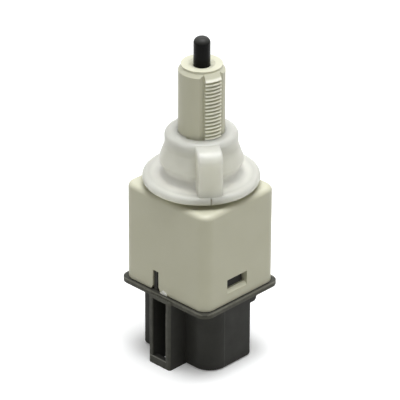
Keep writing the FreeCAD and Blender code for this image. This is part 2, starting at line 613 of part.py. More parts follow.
def build_carrier():
    """Black slide inside the housing; it carries both contact bridges."""
    body = new_body("contact_carrier")
    sketch = new_sketch(body, "block_outline", height=CARRIER_LOW)
    rectangle(sketch, "-dim.carrier_half_x", "dim.carrier_half_x",
              "-dim.carrier_half_y", "dim.carrier_half_y")
    pad(body, "block", sketch, f"{CARRIER_TOP} - {CARRIER_LOW}")
    sketch = new_sketch(body, "tongue_outlines", height=CARRIER_LOW)
    reach = "(dim.carrier_half_y + dim.tongue_reach)"
    rectangle(sketch, "-dim.tongue_half", "dim.tongue_half", "dim.carrier_half_y - 0.5", reach)
    rectangle(sketch, "-dim.tongue_half", "dim.tongue_half", f"-{reach}", "-dim.carrier_half_y + 0.5")
    pad(body, "guide_tongues", sketch, f"{CARRIER_TOP} - {CARRIER_LOW}")

    near_edge = "(dim.bridge_offset - dim.bridge_width / 2 - dim.bridge_play)"
    far_edge = "(dim.bridge_offset + dim.bridge_width / 2 + dim.bridge_play)"
    for name, low, high, left, right in (
            ("stop_window", WINDOW_SPLIT, HIGH_LINTEL, near_edge, far_edge),
            ("cruise_window", LOW_SILL, WINDOW_SPLIT, f"-{far_edge}", f"-{near_edge}")):
        sketch = new_sketch(body, f"{name}_outline", "YZ_Plane")
        rectangle(sketch, left, right, low, high)
        window = body.newObject("PartDesign::Pocket", name)
        window.Profile = sketch
        window.Midplane = True
        window.setExpression("Length", "3 * dim.carrier_half_x")
        doc.recompute()

    sketch = new_sketch(body, "pocket_profile", "XZ_Plane")
    web_low = f"({CARRIER_TOP} - dim.carrier_roof)"
    hole = "(dim.plunger_pin + dim.pin_play)"
    outline(sketch, [
        ("0", f"{CARRIER_LOW} - 1"), ("dim.pocket_radius", f"{CARRIER_LOW} - 1"),
        ("dim.pocket_radius", web_low), (hole, web_low), (hole, f"{CARRIER_TOP} + 1"),
        ("0", f"{CARRIER_TOP} + 1")])
    turned(body, "spring_pocket", sketch, cut=True)
    keep("contact_carrier", body)


def build_bridge(name, across, height, side):
    """Copper strip that joins two contacts; its spring sits on a small dimple."""
    body = new_body(name)
    sketch = new_sketch(body, f"{name}_outline")
    half = "dim.bridge_width / 2"
    rectangle(sketch, "-dim.bridge_half_x", "dim.bridge_half_x", f"-{half}", half)
    pad(body, f"{name}_strip", sketch, "dim.bridge_thickness")
    rounded(body, f"{name}_corners", "dim.bridge_width / 3", upright)
    sketch = new_sketch(body, f"{name}_holes")
    for place in ("-dim.contact_x", "dim.contact_x"):
        circle(sketch, "dim.contact_shank", place)
    pocket(body, f"{name}_rivet_holes", sketch, "dim.bridge_thickness")
    start = "dim.bridge_thickness" if side > 0 else "0"
    sketch = new_sketch(body, f"{name}_dimple_outline", height=start)
    circle(sketch, "dim.press_radius - dim.press_wire / 2 - dim.slide_play")
    pad(body, f"{name}_dimple", sketch, "dim.bridge_thickness", down=side < 0)
    body.setExpression("Placement.Base.y", across)
    body.setExpression("Placement.Base.z", height)
    doc.recompute()
    keep(name, body)


def build_contact(name, x, y, face, up, shank):
    """Silver contact rivet: bevelled head on the strip's face, shank through the strip."""
    body = new_body(name)
    sign = "" if up else "-"
    back = "-" if up else ""
    sketch = new_sketch(body, f"{name}_profile", "XZ_Plane")
    outline(sketch, [
        ("0", f"{back}({shank})"), ("dim.contact_shank", f"{back}({shank})"),
        ("dim.contact_shank", "0"), ("dim.contact_radius", "0"),
        ("dim.contact_radius", f"{sign}(dim.contact_height - dim.contact_dome)"),
        ("dim.contact_radius / 2", f"{sign}dim.contact_height"), ("0", f"{sign}dim.contact_height")])
    turned(body, f"{name}_rivet", sketch)
    body.setExpression("Placement.Base.x", x)
    body.setExpression("Placement.Base.y", y)
    body.setExpression("Placement.Base.z", face)
    doc.recompute()
    keep(name, body)


def build_tall_terminal(name, place):
    """Outer blade whose riser hooks over the stop-lamp bridge."""
    body = new_body(name)
    half, riser = "dim.blade_width / 2", "dim.riser_width / 2"
    arm_top = f"({HIGH_ARM_UNDER} + dim.blade_thickness)"
    sketch = new_sketch(body, f"{name}_outline", "XZ_Plane")
    outline(sketch, [
        (f"-{half} + dim.blade_taper", "dim.blade_start"), (f"{half} - dim.blade_taper", "dim.blade_start"),
        (half, "dim.blade_start + dim.blade_taper"), (half, PAD_TOP), (riser, PAD_TOP),
        (riser, arm_top), (f"-{riser}", arm_top), (f"-{riser}", PAD_TOP), (f"-{half}", PAD_TOP),
        (f"-{half}", "dim.blade_start + dim.blade_taper")])
    pad(body, f"{name}_sheet", sketch, "dim.blade_thickness", both_ways=True)
    sketch = new_sketch(body, f"{name}_arm_outline", height=HIGH_ARM_UNDER)
    arm_end = "(dim.bridge_offset - dim.terminal_line + dim.arm_margin)"
    rectangle(sketch, f"-{riser}", riser, "-dim.blade_thickness / 2", arm_end)
    pad(body, f"{name}_arm", sketch, "dim.blade_thickness")
    top_z, back_y = size(arm_top), -size("dim.blade_thickness / 2")
    rounded(body, f"{name}_bend", "dim.blade_thickness * 0.9",
            lambda e: level(e, top_z) and near(e.BoundBox.YMin, back_y) and near(e.BoundBox.YMax, back_y))
    sketch = new_sketch(body, f"{name}_hole", height=HIGH_ARM_UNDER)
    shift = "(dim.contact_x - 1.5 * dim.terminal_pitch)"
    circle(sketch, "dim.contact_shank", shift if place > 0 else f"-{shift}",
           "dim.bridge_offset - dim.terminal_line")
    pocket(body, f"{name}_rivet_hole", sketch, "dim.blade_thickness")
    finish_terminal(body, name, "1.5 * dim.terminal_pitch" if place > 0 else "-1.5 * dim.terminal_pitch")


def build_short_terminal(name, place):
    """Inner blade bent flat on the base pad, out to its contact under the cruise bridge."""
    body = new_body(name)
    half = "dim.blade_width / 2"
    sketch = new_sketch(body, f"{name}_outline", "XZ_Plane")
    outline(sketch, [
        (f"-{half} + dim.blade_taper", "dim.blade_start"), (f"{half} - dim.blade_taper", "dim.blade_start"),
        (half, "dim.blade_start + dim.blade_taper"), (half, LOW_ARM_TOP), (f"-{half}", LOW_ARM_TOP),
        (f"-{half}", "dim.blade_start + dim.blade_taper")])
    pad(body, f"{name}_sheet", sketch, "dim.blade_thickness", both_ways=True)
    sign = "" if place > 0 else "-"
    inward = "-" if place > 0 else ""
    reach = "(dim.contact_x - dim.terminal_pitch / 2 + dim.arm_margin)"
    near_y = "(-dim.bridge_offset - dim.terminal_line + dim.arm_margin)"
    far_y = "(-dim.bridge_offset - dim.terminal_line - dim.arm_margin)"
    sketch = new_sketch(body, f"{name}_arm_outline", height=PAD_TOP)
    outline(sketch, [
        (f"{inward}{half}", "dim.blade_thickness / 2"), (f"{sign}{half}", "dim.blade_thickness / 2"),
        (f"{sign}{half}", near_y), (f"{sign}{reach}", near_y), (f"{sign}{reach}", far_y),
        (f"{inward}{half}", far_y)])
    pad(body, f"{name}_arm", sketch, "dim.blade_thickness")
    sketch = new_sketch(body, f"{name}_hole", height=PAD_TOP)
    circle(sketch, "dim.contact_shank", f"{sign}(dim.contact_x - dim.terminal_pitch / 2)",
           "-dim.bridge_offset - dim.terminal_line")
    pocket(body, f"{name}_rivet_hole", sketch, "dim.blade_thickness")
    finish_terminal(body, name, "0.5 * dim.terminal_pitch" if place > 0 else "-0.5 * dim.terminal_pitch")


def finish_terminal(body, name, x):
    """Lead on the blade's tip, then the terminal's place in the row."""
    tip = size("dim.blade_start")
    bevelled(body, f"{name}_lead", "dim.blade_thickness / 4",
             lambda e: level(e, tip) and e.BoundBox.XLength > 0.5)
    body.setExpression("Placement.Base.x", x)
    body.setExpression("Placement.Base.y", "dim.terminal_line")
    doc.recompute()
    keep(name, body)


def build_spring(name, mean_radius, wire, turns, length, y, low):
    """Round-wire compression spring with both ends ground flat."""
    path = doc.addObject("Part::Helix", f"{name}_path")
    path.setExpression("Radius", mean_radius)
    path.setExpression("Height", f"{length} + 0.6 * {wire}")
    path.setExpression("Pitch", f"({length}) / {turns}")
    path.setExpression("Placement.Base.z", f"-0.3 * {wire}")
    section = doc.addObject("Part::Circle", f"{name}_section")
    section.setExpression("Radius", f"{wire} / 2")
    section.Placement = FreeCAD.Placement(
        FreeCAD.Vector(size(mean_radius), 0, 0), FreeCAD.Rotation(FreeCAD.Vector(1, 0, 0), 90))
    section.setExpression("Placement.Base.x", mean_radius)
    section.setExpression("Placement.Base.z", f"-0.3 * {wire}")
    coil = doc.addObject("Part::Sweep", f"{name}_coil")
    coil.Sections = [section]
    coil.Spine = (path, [])
    coil.Solid = True
    coil.Frenet = True
    ends = doc.addObject("Part::Cylinder", f"{name}_ends")
    ends.setExpression("Radius", f"{mean_radius} + {wire}")
    ends.setExpression("Height", length)
    ground = doc.addObject("Part::Common", name)
    ground.Base = coil
    ground.Tool = ends
    ground.setExpression("Placement.Base.y", y)
    ground.setExpression("Placement.Base.z", low)
    doc.recompute()
    keep(name, ground)


def build_base(terminals):
    """Dark grey moulding: flange, plug socket and latch box, with the terminals moulded in."""
    body = new_body("base_moulding")
    sketch = new_sketch(body, "socket_outline")
    rectangle(sketch, "-dim.socket_left", "dim.socket_right", "-dim.socket_front", "dim.socket_back")
    pad(body, "socket", sketch, "dim.socket_depth")
    right, front = size("dim.socket_right"), size("dim.socket_front")
    left, back = -size("dim.socket_left"), size("dim.socket_back")
    rounded(body, "socket_key_corner", "dim.socket_key_corner",
            lambda e: upright(e, right, -front))

    def plain_corner(edge):
        return upright(edge, right, back) or upright(edge, left, back) or upright(edge, left, -front)

    rounded(body, "socket_corners", "dim.socket_corner", plain_corner)
    sketch = new_sketch(body, "cavity_outline")
    low, high = "-dim.socket_front + dim.socket_wall", "dim.socket_back - dim.socket_wall"
    left_wall, right_wall = "-dim.socket_left + dim.socket_wall", "dim.socket_right - dim.socket_wall"
    corner_x, corner_y = "dim.socket_right - dim.socket_key_corner", "-dim.socket_front + dim.socket_key_corner"
    bend = "(dim.socket_key_corner - dim.socket_wall)"
    outline(sketch, [
        (left_wall, low), (corner_x, low), (f"{corner_x} + 0.5 * {bend}", f"{corner_y} - 0.866 * {bend}"),
        (f"{corner_x} + 0.866 * {bend}", f"{corner_y} - 0.5 * {bend}"), (right_wall, corner_y),
        (right_wall, high), (left_wall, high)])
    pocket(body, "cavity", sketch, "dim.socket_depth - dim.socket_floor")
    rim_face = next(face for face in body.Tip.Shape.Faces if level(face, 0.0))
    rounded(body, "socket_rim", "dim.rim_round",
            lambda e: any(e.isSame(outer) for outer in rim_face.OuterWire.Edges))

    latch_top = "(dim.socket_depth + dim.latch_top)"
    sketch = new_sketch(body, "latch_outline")
    rectangle(sketch, "-dim.latch_left", "dim.latch_right", f"-{LATCH_FACE}",
              "-dim.socket_front + dim.socket_wall")
    pad(body, "latch_box", sketch, latch_top)
    face, jambs = size(LATCH_FACE), (size("-dim.latch_left"), size("dim.latch_right"))
    rounded(body, "latch_corners", "dim.latch_round",
            lambda e: any(upright(e, jamb, -face) for jamb in jambs))
    top_z = size(latch_top)
    bevelled(body, "latch_lead", "dim.latch_round / 2",
             lambda e: level(e, top_z) and near(e.BoundBox.YMin, -face) and near(e.BoundBox.YMax, -face))

    sketch = new_sketch(body, "flange_outline", height="dim.socket_depth")
    sides = [f"{sign}(dim.housing_{side} + dim.flange_ledge)" for sign, side in
             (("-", "left"), ("", "right"), ("-", "front"), ("", "back"))]
    rectangle(sketch, *sides)
    pad(body, "flange", sketch, "dim.flange_thickness")
    edges_x, edges_y = [size(side) for side in sides[:2]], [size(side) for side in sides[2:]]
    rounded(body, "flange_corners", "dim.flange_corner",
            lambda e: any(upright(e, x, y) for x in edges_x for y in edges_y))

    sketch = new_sketch(body, "gusset_profile", "YZ_Plane")
    low = "(dim.socket_depth - dim.gusset_drop)"
    outline(sketch, [
        ("dim.socket_back - 0.5", low), ("dim.socket_back + dim.gusset_reach * 0.55", low),
        ("dim.socket_back + dim.gusset_reach * 0.85", f"{low} + dim.gusset_drop * 0.15"),
        ("dim.socket_back + dim.gusset_reach", f"{low} + dim.gusset_drop * 0.4"),
        ("dim.socket_back + dim.gusset_reach", "dim.socket_depth"),
        ("dim.socket_back - 0.5", "dim.socket_depth")])
    pad(body, "gussets", sketch, "2 * (dim.socket_right - 0.05)", both_ways=True)
    sketch = new_sketch(body, "gusset_gap")
    rectangle(sketch, "-dim.socket_left + dim.gusset_thickness", "dim.socket_right - dim.gusset_thickness",
              "dim.socket_back", "dim.socket_back + 2 * dim.gusset_reach")
    pocket(body, "between_gussets", sketch, "dim.socket_depth")

    sketch = new_sketch(body, "latch_way_outline")
    rectangle(sketch, "-dim.latch_left + dim.latch_wall", "dim.latch_right - dim.latch_wall",
              f"-{LATCH_FACE} + dim.latch_bar_depth", "-dim.socket_front + dim.socket_wall")
    pocket(body, "latch_way", sketch, "dim.socket_depth")
    sketch = new_sketch(body, "latch_window_outline", height="dim.latch_bar")
    rectangle(sketch, "-dim.latch_left + dim.latch_wall", "dim.latch_right - dim.latch_wall",
              f"-{LATCH_FACE} - 1", "-dim.socket_front")
    pocket(body, "latch_window", sketch, "dim.socket_depth - dim.latch_bar")
    build_base_top(body)

    moulded = doc.addObject("Part::Cut", "connector_base")
    moulded.Base = body
    metal = doc.addObject("Part::Compound", "moulded_in_metal")
    metal.Links = terminals
    moulded.Tool = metal
    doc.recompute()
    keep("connector_base", moulded)


def build_base_top(body):
    """What stands on the flange inside the housing."""
    sketch = new_sketch(body, "pad_outline", height=FLANGE_TOP)
    rectangle(sketch, "-dim.pad_half_x", "dim.pad_half_x", "-dim.pad_half_y", "dim.pad_half_y")
    pad(body, "base_pad", sketch, "dim.pad_height")

    sketch = new_sketch(body, "tower_outlines", height=FLANGE_TOP)
    centre = "1.5 * dim.terminal_pitch"
    low, high = "dim.terminal_line - dim.tower_half / 2", "dim.terminal_line + dim.tower_half / 2"
    rectangle(sketch, f"{centre} - dim.tower_half", f"{centre} + dim.tower_half", low, high)
    rectangle(sketch, f"-{centre} - dim.tower_half", f"-{centre} + dim.tower_half", low, high)
    pad(body, "towers", sketch, "dim.tower_height")

    sketch = new_sketch(body, "seat_profile", "XZ_Plane")
    outline(sketch, [
        ("0", FLANGE_TOP), ("dim.seat_radius", FLANGE_TOP), ("dim.seat_radius", SEAT_TOP),
        ("dim.post_radius", SEAT_TOP), ("dim.post_radius", f"{SEAT_TOP} + dim.post_height - 0.4"),
        ("dim.post_radius - 0.4", f"{SEAT_TOP} + dim.post_height"),
        ("0", f"{SEAT_TOP} + dim.post_height")])
    turned(body, "spring_seat", sketch)

    sill = f"({HOUSING_LOW} + dim.window_low + dim.barb_play)"
    outer = f"({INSIDE_X} - dim.barb_play)"
    inner = f"({outer} - dim.tongue_thickness)"
    barb = f"({outer} + dim.barb_reach)"
    barb_top = f"({sill} + dim.window_height - 3 * dim.barb_play)"
    for side in (1, -1):
        sign = "" if side > 0 else "-"
        name = "right" if side > 0 else "left"
        middle = "(dim.barb_back - dim.window_front + dim.barb_play * 2) / 2"
        sketch = new_sketch(body, f"{name}_tongue_profile", "XZ_Plane", height=f"-({middle})")
        outline(sketch, [
            (f"{sign}{inner}", FLANGE_TOP), (f"{sign}{outer}", FLANGE_TOP), (f"{sign}{outer}", sill),
            (f"{sign}{barb}", sill), (f"{sign}{barb}", f"{sill} + dim.barb_reach / 3"),
            (f"{sign}{outer}", barb_top), (f"{sign}{inner}", barb_top)])
        pad(body, f"{name}_tongue", sketch, "dim.barb_back + dim.window_front - 2 * dim.barb_play",
            both_ways=True)

    sketch = new_sketch(body, "key_rib_outline", height=FLANGE_TOP)
    left = "(-dim.slot_left + dim.barb_play)"
    rectangle(sketch, left, f"{left} + dim.key_thickness",
              "-dim.housing_front + dim.key_recess", "-dim.carrier_half_y - 4 * dim.slide_play")
    pad(body, "key_rib", sketch, "dim.slot_height - dim.barb_play")


def build_all():
    build_housing()
    build_collar()
    build_plunger()
    build_carrier()
    under_strip = f"{HIGH_BRIDGE} - dim.bridge_thickness"
    build_bridge("stop_lamp_bridge", "dim.bridge_offset", under_strip, -1)
    build_bridge("cruise_bridge", "-dim.bridge_offset", LOW_BRIDGE, 1)
    for place, label in ((-1, "left"), (1, "right")):
        x = "dim.contact_x" if place > 0 else "-dim.contact_x"
        strip, sheet_metal = "dim.bridge_thickness", "dim.blade_thickness"
        build_contact(f"stop_moving_contact_{label}", x, "dim.bridge_offset", HIGH_BRIDGE, True, strip)
        build_contact(f"stop_fixed_contact_{label}", x, "dim.bridge_offset", HIGH_ARM_UNDER, False,
                      sheet_metal)
        build_contact(f"cruise_moving_contact_{label}", x, "-dim.bridge_offset", LOW_BRIDGE, False, strip)
        build_contact(f"cruise_fixed_contact_{label}", x, "-dim.bridge_offset", LOW_ARM_TOP, True,
                      sheet_metal)
        build_tall_terminal(f"stop_terminal_{label}", place)
        build_short_terminal(f"cruise_terminal_{label}", place)
    web_low = f"({CARRIER_TOP} - dim.carrier_roof)"
    build_spring("return_spring", "dim.return_radius", "dim.return_wire", "dim.return_turns",
                 f"({web_low} - {SEAT_TOP})", "0", SEAT_TOP)
    build_spring("stop_bridge_spring", "dim.press_radius", "dim.press_wire", "dim.press_turns",
                 f"({under_strip} - {WINDOW_SPLIT})", "dim.bridge_offset", WINDOW_SPLIT)
    cruise_seat = f"({LOW_BRIDGE} + dim.bridge_thickness)"
    build_spring("cruise_bridge_spring", "dim.press_radius", "dim.press_wire", "dim.press_turns",
                 f"({WINDOW_SPLIT} - {cruise_seat})", "-dim.bridge_offset", cruise_seat)
    build_base([nodes[f"{kind}_terminal_{label}"] for kind in ("stop", "cruise")
                for label in ("left", "right")])


def check_and_write():
    """Stop on any failed feature or bad solid, then write one STEP file for each piece."""
    failed = [thing.Name for thing in doc.Objects
              if any(state in ("Invalid", "Error") for state in thing.State)]
    failed += [thing.Name for thing in doc.Objects
               if thing.isDerivedFrom("PartDesign::Feature") and not thing.Shape.isValid()]
    if failed:
        raise RuntimeError(f"features failed: {failed}")
    os.makedirs("parts", exist_ok=True)
    for name, thing in nodes.items():
        shape = thing.Shape
        if shape.isNull() or not shape.isValid() or not shape.Solids:
            raise RuntimeError(f"{name} is not a valid solid")
        shape.exportStep(f"parts/{name}.step")
        print(f"{name}: {len(shape.Solids)} solid, {shape.Volume:.1f} mm3")


build_all()
check_and_write()
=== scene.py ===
# %% [markdown]
# # A stop-lamp switch on a pale table
#
# The switch sits above a brake pedal: a cream box with a round toothed stem, a black push
# rod, a milky collar that turns to lock it in its bracket, and a dark grey base with the
# plug socket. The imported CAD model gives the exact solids, and this file gives them their
# finishes, their wound springs and a photographer's table.

# %% Load the solids
import json
import math

import bmesh
import bpy
from mathutils import Matrix, Vector

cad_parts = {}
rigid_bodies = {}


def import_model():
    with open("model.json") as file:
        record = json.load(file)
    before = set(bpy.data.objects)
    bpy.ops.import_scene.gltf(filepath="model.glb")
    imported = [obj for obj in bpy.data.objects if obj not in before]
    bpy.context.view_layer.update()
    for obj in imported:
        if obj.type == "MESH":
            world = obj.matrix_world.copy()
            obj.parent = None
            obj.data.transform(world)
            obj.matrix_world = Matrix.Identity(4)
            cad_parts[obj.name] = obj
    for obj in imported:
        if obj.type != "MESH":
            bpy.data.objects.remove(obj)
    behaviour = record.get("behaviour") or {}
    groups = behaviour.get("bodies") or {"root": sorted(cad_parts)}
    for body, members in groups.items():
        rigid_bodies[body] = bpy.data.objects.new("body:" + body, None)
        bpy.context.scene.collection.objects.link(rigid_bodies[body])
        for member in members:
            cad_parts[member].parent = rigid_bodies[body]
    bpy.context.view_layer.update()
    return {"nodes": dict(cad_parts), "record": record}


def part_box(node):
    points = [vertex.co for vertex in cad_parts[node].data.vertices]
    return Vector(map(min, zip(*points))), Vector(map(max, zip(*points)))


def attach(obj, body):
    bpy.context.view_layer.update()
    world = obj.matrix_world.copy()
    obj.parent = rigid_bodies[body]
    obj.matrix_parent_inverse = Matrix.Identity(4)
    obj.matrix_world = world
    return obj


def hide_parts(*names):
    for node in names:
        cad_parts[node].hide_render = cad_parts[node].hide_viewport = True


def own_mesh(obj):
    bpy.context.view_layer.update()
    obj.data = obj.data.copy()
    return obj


for left_over in list(bpy.data.objects):
    bpy.data.objects.remove(left_over)

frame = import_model()
node = frame["nodes"]
MM = 0.001

# %% [markdown]
# ## The camera
#
# The photograph was taken from some distance with a long lens, so the upright edges hardly
# lean together. A camera 732 mm away, 28.4 degrees above the table and 44.1 degrees round
# the switch, gives the same outline and the same slopes of the edges. Its place is worked
# out from its distance along the table and its height, and it looks at a point half way up.
# A long lens is set by its focal length: 36 mm of film and 319 mm of lens see 82 mm of the
# switch from there. A roll of a third of a degree and a very small step to the side set the
# switch as straight and as central as it is in the photograph.

# %% Camera
FILM_WIDTH, FOCAL_LENGTH = 36.0, 319.4
NEAR, FAR = 0.01, 10.0
AZIMUTH, ROLL = math.radians(44.08), math.radians(0.30)
DISTANCE, HEIGHT, AIM = 643.7 * MM, 382.6 * MM, 34.88 * MM
SIDESTEP = -0.23 * MM

camera_data = bpy.data.cameras.new("photograph_camera")
camera_data.sensor_width = FILM_WIDTH
camera_data.lens = FOCAL_LENGTH
camera_data.clip_start, camera_data.clip_end = NEAR, FAR
camera = bpy.data.objects.new("photograph_camera", camera_data)
bpy.context.scene.collection.objects.link(camera)
bpy.context.scene.camera = camera

right = Vector((math.cos(AZIMUTH), math.sin(AZIMUTH), 0))
camera.location = Vector((math.sin(AZIMUTH) * DISTANCE, -math.cos(AZIMUTH) * DISTANCE, HEIGHT))
aim = Vector((0, 0, AIM))
look = (aim - camera.location).to_track_quat("-Z", "Y")
camera.rotation_mode = "QUATERNION"
camera.rotation_quaternion = look @ Matrix.Rotation(ROLL, 3, "Z").to_quaternion()
camera.location += right * SIDESTEP
print("camera is", round((camera.location - aim).length / MM), "mm from the switch")

# %% [markdown]
# ## Helpers for nodes
#
# Light, table and finishes are all trees of nodes. A tree can be drawn in Blender's editor or
# built from Python, node by node. A script gives the same tree on every run, so this file
# builds them all. Each node is made, its sockets get a fixed value or a link, and its output
# goes on to the next node. Four small helpers keep that short.

# %% Helpers for nodes


def add(tree, kind, place=(0, 0), **values):
    """New node with its inputs set by name, or by number after an underscore."""
    made = tree.nodes.new(kind)
    made.location = place
    for name, value in values.items():
        if name.startswith("_"):
            made.inputs[int(name[1:])].default_value = value
        elif name in made.inputs:
            made.inputs[name].default_value = value
        else:
            setattr(made, name, value)
    return made


def give(tree, socket, value):
    """Link a socket to another one, or set it to a fixed value."""
    if isinstance(value, bpy.types.NodeSocket):
        tree.links.new(value, socket)
    else:
        socket.default_value = value


def maths(tree, operation, *values, clamp=False):
    """Do a sum; each value may be a socket or a number."""
    made = add(tree, "ShaderNodeMath", operation=operation, use_clamp=clamp)
    for socket, value in zip(made.inputs, values):
        give(tree, socket, value)
    return made.outputs[0]


def blend_colour(tree, mask, first, second):
    """Mix two colours by a mask; each may be a socket or a fixed colour."""
    made = add(tree, "ShaderNodeMix", data_type="RGBA")
    for label, value in (("Factor", mask), ("A", first), ("B", second)):
        give(tree, made.inputs[label], value)
    return made.outputs["Result"]


print("helpers:", [made.__name__ for made in (add, give, maths, blend_colour)])

# %% [markdown]
# ## Light and table
#
# A small product like this is lit by a soft tent: light comes from all round, most of it
# from above, so the top faces are more than twice as bright as the sides. A world of weak,
# slightly warm light does the surroundings, a large lamp overhead does the top, and two weak
# lamps at the sides give the edges their shape. To the camera, and in reflections, the world
# is plain white. The switch itself is only lit by the weak world and the lamps.

# %% World
scene = bpy.context.scene
scene.view_settings.view_transform = "Standard"
WHITE, WARM_WHITE = (1, 1, 1, 1), (1.0, 0.985, 0.93, 1)


def looked_at(tree):
    """Mask that is 1 for the rays that look at a thing and 0 for those that light it."""
    path = tree.nodes.new("ShaderNodeLightPath")
    mask = path.outputs["Is Camera Ray"]
    for ray in ("Is Glossy Ray", "Is Transmission Ray"):
        mask = maths(tree, "MAXIMUM", mask, path.outputs[ray])
    return mask


def soft_world(colour, strength):
    """Soft light from all round, that the camera and reflections see as plain white."""
    world = bpy.data.worlds.new("light_tent")
    world.use_nodes = True
    scene.world = world
    tree = world.node_tree
    tree.nodes.clear()
    out = add(tree, "ShaderNodeOutputWorld")
    mix = add(tree, "ShaderNodeMixShader")
    light = add(tree, "ShaderNodeBackground", Color=colour, Strength=strength)
    sight = add(tree, "ShaderNodeBackground", Color=WHITE, Strength=1.0)
    for socket, value in zip(mix.inputs, (looked_at(tree), light.outputs[0], sight.outputs[0])):
        tree.links.new(value, socket)
    tree.links.new(mix.outputs["Shader"], out.inputs["Surface"])
    return world


print("world:", soft_world(WARM_WHITE, strength=0.27).name)

# %% Lamps
MIDDLE = Vector((0, 0, 0.035))


def soft_lamp(name, place, size, power, colour=(1, 1, 1)):
    """Square area lamp that faces the middle of the switch."""
    data = bpy.data.lights.new(name, "AREA")
    data.color = colour
    data.shape = "SQUARE"
    data.size = size
    data.energy = power
    lamp = bpy.data.objects.new(name, data)
    lamp.location = place
    lamp.rotation_mode = "QUATERNION"
    lamp.rotation_quaternion = (MIDDLE - Vector(place)).to_track_quat("-Z", "Y")
    scene.collection.objects.link(lamp)
    return lamp


lamps = [
    soft_lamp("overhead_lamp", (0.03, 0.02, 0.62), size=0.42, power=5.0, colour=(0.97, 0.985, 1.0)),
    soft_lamp("left_lamp", (-0.30, -0.50, 0.22), size=0.35, power=0.08),
    soft_lamp("right_lamp", (0.52, -0.10, 0.26), size=0.35, power=0.07),
]
print("lamps:", [lamp.name for lamp in lamps])

# %% [markdown]
# The table is one large plain sheet, nearly matt. White paint alone would throw a lot of
# light back up on the sides of the switch, so to the light the sheet is a warm middle grey.
# To the eye it is near white and glows a very little, which leaves a dark line and a faint
# soft shadow where the switch stands.

# %% Table
GREY_TO_LIGHT, WHITE_TO_EYE = (0.46, 0.455, 0.41, 1), (0.96, 0.96, 0.96, 1)
GLOW = 0.14


def table_paint():
    """Nearly matt paint, grey for the rays that light and white for those that look."""
    material = bpy.data.materials.new("white_table")
    material.use_nodes = True
    tree = material.node_tree
    shader = tree.nodes["Principled BSDF"].inputs
    seen = looked_at(tree)
    for label, value in (
            ("Roughness", 0.7), ("Emission Color", WHITE),
            ("Base Color", blend_colour(tree, seen, GREY_TO_LIGHT, WHITE_TO_EYE)),
            ("Emission Strength", maths(tree, "MULTIPLY", seen, GLOW))):
        give(tree, shader[label], value)
    return material


def pale_table():
    """Wide flat sheet under the switch."""
    mesh = bpy.data.meshes.new("table_top")
    build = bmesh.new()
    bmesh.ops.create_grid(build, x_segments=2, y_segments=2, size=3.0)
    build.to_mesh(mesh)
    build.free()
    mesh.materials.append(table_paint())
    table = bpy.data.objects.new("table_top", mesh)
    scene.collection.objects.link(table)
    return table


print("table:", pale_table().name)

# %% [markdown]
# ## Finishes
#
# Almost everything in sight is moulded plastic. A moulded face isn't one flat colour: the
# pigment is a little uneven, the surface has the fine dull grain of a spark-eroded mould,
# and handling leaves faint soft marks. A picture of such a surface would need unwrapping and
# would blur close up, and noise does neither. One shader group makes all three from noise,
# and each plastic gives it its own colours and sizes. The group only puts out a colour, a
# roughness and a height. The shader itself stays in each material, where its fixed values
# are set.

# %% A group for moulded plastic


def new_group(name, inputs, outputs):
    """Shader group whose sockets are listed as (name, kind, value)."""
    group = bpy.data.node_groups.new(name, "ShaderNodeTree")
    for side, sockets in (("INPUT", inputs), ("OUTPUT", outputs)):
        for label, kind, *value in sockets:
            socket = group.interface.new_socket(
                name=label, in_out=side, socket_type=f"NodeSocket{kind}")
            if value:
                socket.default_value = value[0]
    entry = group.nodes.new("NodeGroupInput")
    leave = group.nodes.new("NodeGroupOutput")
    return group, entry.outputs, leave.inputs


def noise(tree, place, scale, detail, roughness):
    """Cloudy pattern; its scale may be a socket or a number."""
    made = add(tree, "ShaderNodeTexNoise", Detail=detail, Roughness=roughness)
    give(tree, made.inputs["Vector"], place)
    give(tree, made.inputs["Scale"], scale)
    return made.outputs["Fac"]


def remap(tree, value, low, high):
    """Stretch a mask from 0..1 to low..high."""
    made = add(tree, "ShaderNodeMapRange")
    for label, limit in (("Value", value), ("To Min", low), ("To Max", high)):
        give(tree, made.inputs[label], limit)
    return made.outputs["Result"]


def both(tree, first, second):
    """Mask where two masks meet; either may be a fixed strength."""
    return maths(tree, "MULTIPLY", first, second, clamp=True)


def moulded_plastic_group():
    """Clouds move the colour and the gloss, and a fine grain makes the height."""
    group, given, out = new_group(
        "moulded_plastic",
        [("Place", "Vector"), ("Pigment", "Color", (0.5, 0.5, 0.5, 1)),
         ("Pale Streak", "Color", (0.6, 0.6, 0.6, 1)), ("Streak Amount", "Float", 0.3),
         ("Cloud Size", "Float", 90.0), ("Grain Size", "Float", 4000.0),
         ("Dull", "Float", 0.45), ("Polished", "Float", 0.35)],
        [("Colour", "Color"), ("Roughness", "Float"), ("Height", "Float")])
    cloud = noise(group, given["Place"], given["Cloud Size"], detail=3.0, roughness=0.55)
    grain = noise(group, given["Place"], given["Grain Size"], detail=2.0, roughness=0.6)
    amount = both(group, remap(group, cloud, low=-0.6, high=1.6), given["Streak Amount"])
    colour = blend_colour(group, amount, given["Pigment"], given["Pale Streak"])
    rubbed = remap(group, cloud, given["Dull"], given["Polished"])
    for label, value in (("Colour", colour), ("Roughness", rubbed), ("Height", grain)):
        group.links.new(value, out[label])
    return group


moulded_plastic = moulded_plastic_group()
print("group:", moulded_plastic.name, [s.name for s in moulded_plastic.interface.items_tree])
